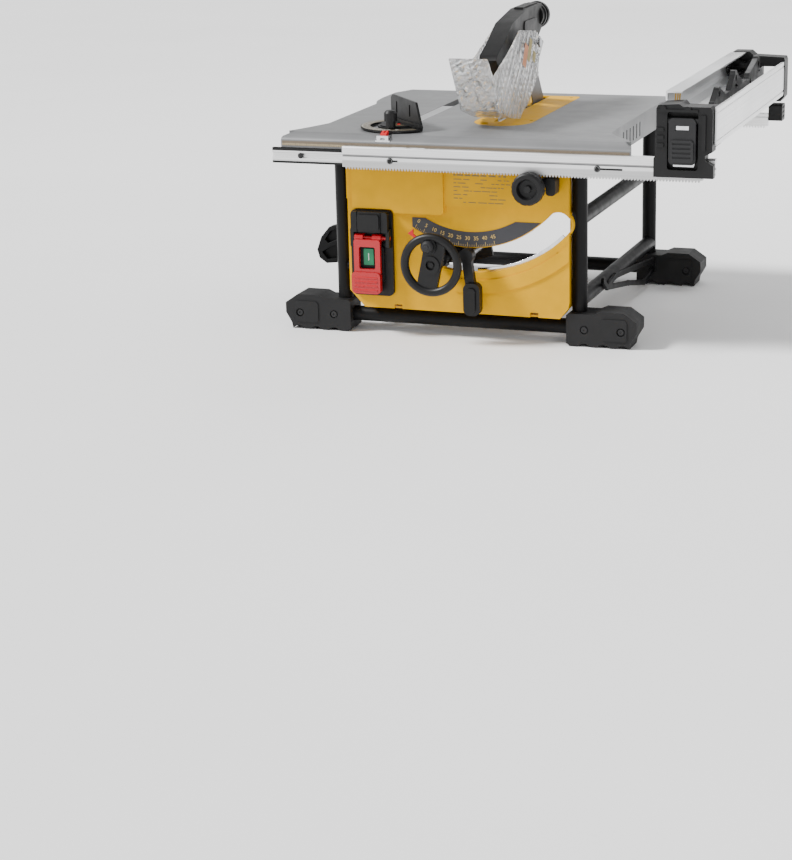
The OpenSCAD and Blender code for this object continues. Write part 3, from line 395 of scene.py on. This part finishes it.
class Builder:
    """Collects simple solids, in design mm, into one mesh."""

    def __init__(self):
        self.v = []
        self.f = []

    def block(self, a, b):
        n = len(self.v)
        c = [(x, y, z) for z in (a[2], b[2]) for y in (a[1], b[1]) for x in (a[0], b[0])]
        self.v += [at(*p) for p in c]
        for q in ((0, 2, 3, 1), (4, 5, 7, 6), (0, 1, 5, 4), (2, 6, 7, 3), (0, 4, 6, 2), (1, 3, 7, 5)):
            self.f.append([n + k for k in q])

    def prism(self, points, lo, hi, axis="Y"):
        """A flat outline pushed along an axis. Points are in the two other axes, in X, Y, Z order."""
        n = len(self.v)
        k = len(points)
        for level in (lo, hi):
            for a, b in points:
                p = {"X": (level, a, b), "Y": (a, level, b), "Z": (a, b, level)}[axis]
                self.v.append(at(*p))
        self.f.append([n + i for i in range(k)])
        self.f.append([n + k + i for i in reversed(range(k))])
        for i in range(k):
            j = (i + 1) % k
            self.f.append([n + j, n + i, n + k + i, n + k + j])

    def dome(self, c, r, h, direction, steps=24, rings=5):
        """A domed screw or button head standing on c."""
        d = Vector(direction).normalized()
        u = d.orthogonal().normalized()
        w = d.cross(u)
        n = len(self.v)
        base = at(*c)
        for i in range(rings + 1):
            a = i / rings * math.pi / 2
            rr = r * math.cos(a) * MM
            hh = h * (0.35 + 0.65 * math.sin(a)) * MM if i else 0.0
            if i == 1:
                rr = r * MM
            for j in range(steps):
                q = 2 * math.pi * j / steps
                self.v.append(base + d * hh + (u * math.cos(q) + w * math.sin(q)) * max(rr, 0.00002))
        for i in range(rings):
            for j in range(steps):
                k = (j + 1) % steps
                low = n + i * steps
                high = low + steps
                self.f.append([low + j, low + k, high + k, high + j])
        self.f.append([n + rings * steps + j for j in range(steps)])

    def make(self, name, mat, body, bevel=0.0):
        return mesh_piece(name, self.v, self.f, mat, body, bevel)


def tilt_point(r, a):
    a = math.radians(a)
    return TILT[0] + r * math.sin(a), TILT[1] - r * math.cos(a)


def lettering(text, size, place, name, depth=0.15):
    """Numerals of a scale as a thin raised mesh. place maps flat (u, v) in mm and a depth to a point."""
    cu = bpy.data.curves.new(name + "_c", "FONT")
    cu.body = text
    cu.size = size
    cu.align_x = "CENTER"
    cu.align_y = "CENTER"
    cu.resolution_u = 3
    tmp = bpy.data.objects.new(name + "_t", cu)
    bpy.context.scene.collection.objects.link(tmp)
    dg = bpy.context.evaluated_depsgraph_get()
    me = bpy.data.meshes.new_from_object(tmp.evaluated_get(dg))
    bpy.data.objects.remove(tmp)
    verts = [place(v.co.x, v.co.y, depth) for v in me.vertices]
    return verts, [list(f.vertices) for f in me.polygons]


def text_set(items, mat, body, name):
    """Several numerals joined as one piece."""
    vs = []
    fs = []
    for text, size, place in items:
        v, f = lettering(text, size, place, name)
        n = len(vs)
        vs += v
        fs += [[n + k for k in q] for q in f]
    return mesh_piece(name, vs, fs, mat, body)


INK = flat_print("ink_dark", (0.03, 0.025, 0.02))
INK_WARM = flat_print("ink_warm", (0.62, 0.42, 0.12))
INK_PALE = flat_print("ink_pale", (0.75, 0.74, 0.7))
WHITE = flat_print("white_window", (0.85, 0.86, 0.86), 0.25)
TAN = flat_print("tan_tape", (0.36, 0.29, 0.18))
ORANGE = flat_print("decal_orange", (0.62, 0.2, 0.05))
OLIVE = flat_print("decal_olive", (0.35, 0.27, 0.05))
BRONZE = brushed("bronze_disc", (0.30, 0.26, 0.19), 0.34, 0, 0.9, 500.0)
DARK = MAT["plastic_dark"]
rnd = random.Random(7)

# ---------------------------------------------------------------- bevel scale: ticks and numerals
b = Builder()
SCALE_Y = -31.2  # front face of the scale plate
ZERO = -31.5  # angle of the scale's zero, in degrees from straight down
for d in range(0, 46):
    a = ZERO + d
    r0 = 181.0
    r1 = 174.0 if d % 5 == 0 else 177.5
    w = 0.28 if d % 5 == 0 else 0.18
    p0, p1 = tilt_point(r0, a), tilt_point(r1, a)
    n = (math.cos(math.radians(a)) * w, math.sin(math.radians(a)) * w)
    corners = [(p0[0] - n[0], p0[1] - n[1]), (p0[0] + n[0], p0[1] + n[1]),
               (p1[0] + n[0], p1[1] + n[1]), (p1[0] - n[0], p1[1] - n[1])]
    b.prism(corners, SCALE_Y - 0.15, SCALE_Y, "Y")
b.make("bevel_ticks", INK_WARM, "base")
items = []
for d in range(0, 50, 5):
    a = ZERO + d
    c = tilt_point(167.5, a)

    def put(u, v, depth, c=c, a=math.radians(a)):
        x = c[0] + u * math.cos(a) - v * math.sin(a)
        return at(x, SCALE_Y - depth, c[1] + u * math.sin(a) + v * math.cos(a))

    items.append((str(d), 9.0, put))
text_set(items, INK_WARM, "base", "bevel_numbers")

# ---------------------------------------------------------------- generic print on the front label
b = Builder()
for row in range(9):
    z = 279 - row * 6.2
    x = 2.0
    while x < 98:
        w = rnd.uniform(3, 15)
        if rnd.random() < 0.72 and x + w < 100:
            b.block((x, -33.62, z), (x + w, -33.5, z + (2.6 if row < 2 else 1.5)))
        x += w + rnd.uniform(1.2, 4.5)
b.make("label_lines", flat_print("label_ink", (0.2, 0.14, 0.04)), "base")

# ---------------------------------------------------------------- rails: seals, windows, screws, ruler tape
b = Builder()
b.block((-298.8, -67.15, 309.5), (298.8, -60.2, 314.0))
b.block((-298.8, -67.15, 289.0), (298.8, -60.2, 292.5))
b.make("rail_seals", MAT["plastic_black"], "base")
b = Builder()
b.dome((-249, -66.9, 302), 4.6, 2.2, (0, -1, 0))
b.dome((249, -66.9, 302), 4.6, 2.2, (0, -1, 0))
b.make("fixed_rail_screws", DARK, "base")
b = Builder()
for x, w in ((-91, 13), (252, 40)):
    b.dome((x, -74.2, 300), 5.2, 3.6, (0, -1, 0))
    b.block((x, -76.4, 298.6), (x + w, -74.9, 301.4))
b.make("rail_screws", MAT["plastic_black"], "rails", 0.3)
b = Builder()
for x in (-92, -60):
    b.block((x + 0.3, -71.7, 319.7), (x + 25.7, -65.3, 320.3))
b.make("rail_windows", WHITE, "rails")
b = Builder()
for x in (-92, -60):
    for k in range(12):
        h = 3.0 if k % 4 == 0 else 1.8
        b.block((x + 2 + 2 * k, -71.4, 320.3), (x + 2.35 + 2 * k, -71.4 + h, 320.36))
b.make("rail_window_ticks", INK, "rails")
b = Builder()
b.block((-283, -62.25, 317.5), (300, -61.95, 321))
b.make("ruler_tape", TAN, "base")
b = Builder()
b.block((-283, -62.25, 321), (300, -61.95, 325))
b.make("ruler_tape_top", flat_print("brown_tape", (0.16, 0.125, 0.085)), "base")
b = Builder()
for k in range(0, 145):
    x = -280 + 4 * k
    b.block((x, -62.35, 317.7), (x + 0.4, -62.24, 321 if k % 5 == 0 else 319.4))
b.make("ruler_ticks", INK, "base")

# ---------------------------------------------------------------- throat insert screws
b = Builder()
for x, y in ((-2, 136), (82, 136), (6, 402), (76, 402)):
    b.dome((x, y, 336.8), 2.8, 1.1, (0, 0, 1))
b.make("insert_screws", DARK, "base")

# ---------------------------------------------------------------- guard decals, generic blocks of colour
def on_panel(x, cy, cz, w, h, ang, z0, mat, body, name):
    bb = Builder()
    a = math.radians(ang)

    def q(u, v):
        return cy + u * math.cos(a) - v * math.sin(a), cz + u * math.sin(a) + v * math.cos(a)

    bb.prism([q(-w / 2, -h / 2), q(w / 2, -h / 2), q(w / 2, h / 2), q(-w / 2, h / 2)], x, x + z0, "X")
    return bb.make(name, mat, body)


for side, body, x in (("r", "shield_right", 60.85), ("l", "shield_left", -4.75)):
    on_panel(x, 176, 440, 20, 38, -28, 0.25, ORANGE, body, "decal_a_" + side)
    on_panel(x, 201, 446, 15, 38, -28, 0.25, OLIVE, body, "decal_b_" + side)
    on_panel(x, 226, 432, 15, 18, -28, 0.25, OLIVE, body, "decal_c_" + side)

# ---------------------------------------------------------------- mitre gauge disc
MC = (-108.0, 21.0)
MA = math.radians(-45)


def mitre(u, v, z):
    x = MC[0] + u * math.cos(MA) - v * math.sin(MA)
    return at(x, MC[1] + u * math.sin(MA) + v * math.cos(MA), TABLE_Z + z)


def half_ring(name, inner, outer, low, high, mat, inner_wall=True, steps=72):
    """The front half of a flat ring round the gauge's pivot."""
    verts = []
    faces = []
    n = steps + 1
    for z in (low, high):
        for rr in (inner, outer):
            for k in range(n):
                a = math.radians(-180 + 180 * k / steps)
                verts.append(mitre(rr * math.cos(a), rr * math.sin(a), z))
    for k in range(steps):
        faces.append([2 * n + k, 3 * n + k, 3 * n + k + 1, 2 * n + k + 1])
        faces.append([n + k, n + k + 1, 3 * n + k + 1, 3 * n + k])
        if inner_wall:
            faces.append([k, 2 * n + k, 2 * n + k + 1, k + 1])
    mesh_piece(name, verts, faces, mat, "gauge_head")


half_ring("mitre_scale_ring", 48.5, 63.0, 5.2, 5.55, BRONZE)
vs = []
fs = []
for d in range(-60, 61, 2):
    a = math.radians(-90 + d)
    r0, r1 = 62.5, (58.5 if d % 10 == 0 else 60.5)
    t = 0.28
    nx, ny = -math.sin(a) * t, math.cos(a) * t
    k = len(vs)
    for r, s in ((r0, 1), (r0, -1), (r1, -1), (r1, 1)):
        vs.append(mitre(r * math.cos(a) + s * nx, r * math.sin(a) + s * ny, 5.62))
    fs.append([k, k + 1, k + 2, k + 3])
mesh_piece("mitre_ticks", vs, fs, INK_PALE, "gauge_head")
items = []
for d in range(-60, 61, 15):
    a = math.radians(-90 + d)
    c = (54.3 * math.cos(a), 54.3 * math.sin(a))

    def put(u, v, depth, c=c, a=a + math.pi / 2):
        x = c[0] + u * math.cos(a) - v * math.sin(a)
        return mitre(x, c[1] + u * math.sin(a) + v * math.cos(a), 5.55 + depth)

    items.append((str(abs(d)), 5.6, put))
text_set(items, INK_PALE, "gauge_head", "mitre_numbers")
BRASS = brushed("brass_disc", (0.62, 0.50, 0.27), 0.3, 0, 0.95, 500.0)
half_ring("mitre_hub_plate", 5.5, 22.3, 5.2, 6.2, BRASS, inner_wall=False)

# ---------------------------------------------------------------- latch and fence details
b = Builder()
FX = 347.0  # left face of the rip fence
b.block((FX + 32, -89.6, 366.8), (FX + 52, -88.6, 373.2))
b.make("latch_slot_plate", MAT["zinc"], "latch_front", 0.3)
b = Builder()
b.prism([(FX + 26, 309), (FX + 58, 309), (FX + 60, 317), (FX + 56, 317), (FX + 54, 313), (FX + 28, 313),
         (FX + 25, 317)], -80.5, -78.5, "Y")
b.make("latch_lip_plate", MAT["zinc"], "fence", 0.3)
b = Builder()
for k in range(3):
    y = 20 + 16 * k
    b.prism([(y, 386), (y + 10, 386), (y + 18, 410), (y + 8, 410)], FX + 3.02, FX + 3.2, "X")
b.make("fence_stripes", flat_print("stripe_yellow", (0.75, 0.42, 0.02)), "fence")

# ---------------------------------------------------------------- switch mark
b = Builder()
b.block((-144.6, -44.25, 128), (-143.4, -43.95, 140))
b.make("start_mark", WHITE, "start")

# ---------------------------------------------------------------- stage, light, camera
def stage_plane():
    m, t, p = nodes_of("floor_pale")
    v = coords(t)
    col = ramp(t, noise(t, v, 1.5, 2.0), [(0.3, (0.90, 0.90, 0.90)), (0.7, (0.93, 0.93, 0.93))])
    t.links.new(col, p.inputs["Base Color"])
    p.inputs["Roughness"].default_value = 0.9
    p.inputs["Specular IOR Level"].default_value = 0.1
    me = bpy.data.meshes.new("floor")
    s = 30.0
    z = -0.0005
    me.from_pydata([(-s, -s, z), (s, -s, z), (s, s, z), (-s, s, z)], [], [(0, 1, 2, 3)])
    me.materials.append(m)
    o = bpy.data.objects.new("floor", me)
    bpy.context.scene.collection.objects.link(o)


stage_plane()
world = bpy.data.worlds.new("studio")
world.use_nodes = True
world.node_tree.nodes["Background"].inputs["Color"].default_value = (1.0, 1.0, 1.0, 1)
world.node_tree.nodes["Background"].inputs["Strength"].default_value = 0.7
bpy.context.scene.world = world


def area(name, pos, target, size, power):
    la = bpy.data.lights.new(name, "AREA")
    la.shape = "RECTANGLE"
    la.size = size[0]
    la.size_y = size[1]
    la.energy = power
    o = bpy.data.objects.new(name, la)
    bpy.context.scene.collection.objects.link(o)
    o.location = pos
    o.rotation_euler = (Vector(target) - Vector(pos)).to_track_quat("-Z", "Y").to_euler()


sun = bpy.data.lights.new("key", "SUN")
sun.energy = 5.6
sun.angle = math.radians(14)
key = bpy.data.objects.new("key", sun)
bpy.context.scene.collection.objects.link(key)
key.rotation_euler = Vector((0.95, 0.42, -0.95)).to_track_quat("-Z", "Y").to_euler()
area("fill", (2.4, -2.0, 1.4), (0, 0, 0.25), (1.6, 1.6), 12)
area("back", (0.4, 2.4, 2.2), (0, 0, 0.3), (2.2, 1.0), 30)

cam = bpy.data.cameras.new("camera")
cam.lens = 91.79
cam.sensor_width = 36.0
co = bpy.data.objects.new("camera", cam)
bpy.context.scene.collection.objects.link(co)
right = Vector((0.93862556, 0.34406091, -0.02457942))
up = Vector((-0.07698341, 0.27841072, 0.95737194))
back = Vector((0.33623743, -0.89672156, 0.2878104))
m = Matrix((right, up, back)).transposed().to_4x4()
m.translation = at(1133.72, -3344.46, 898.92)
co.matrix_world = m
bpy.context.scene.camera = co
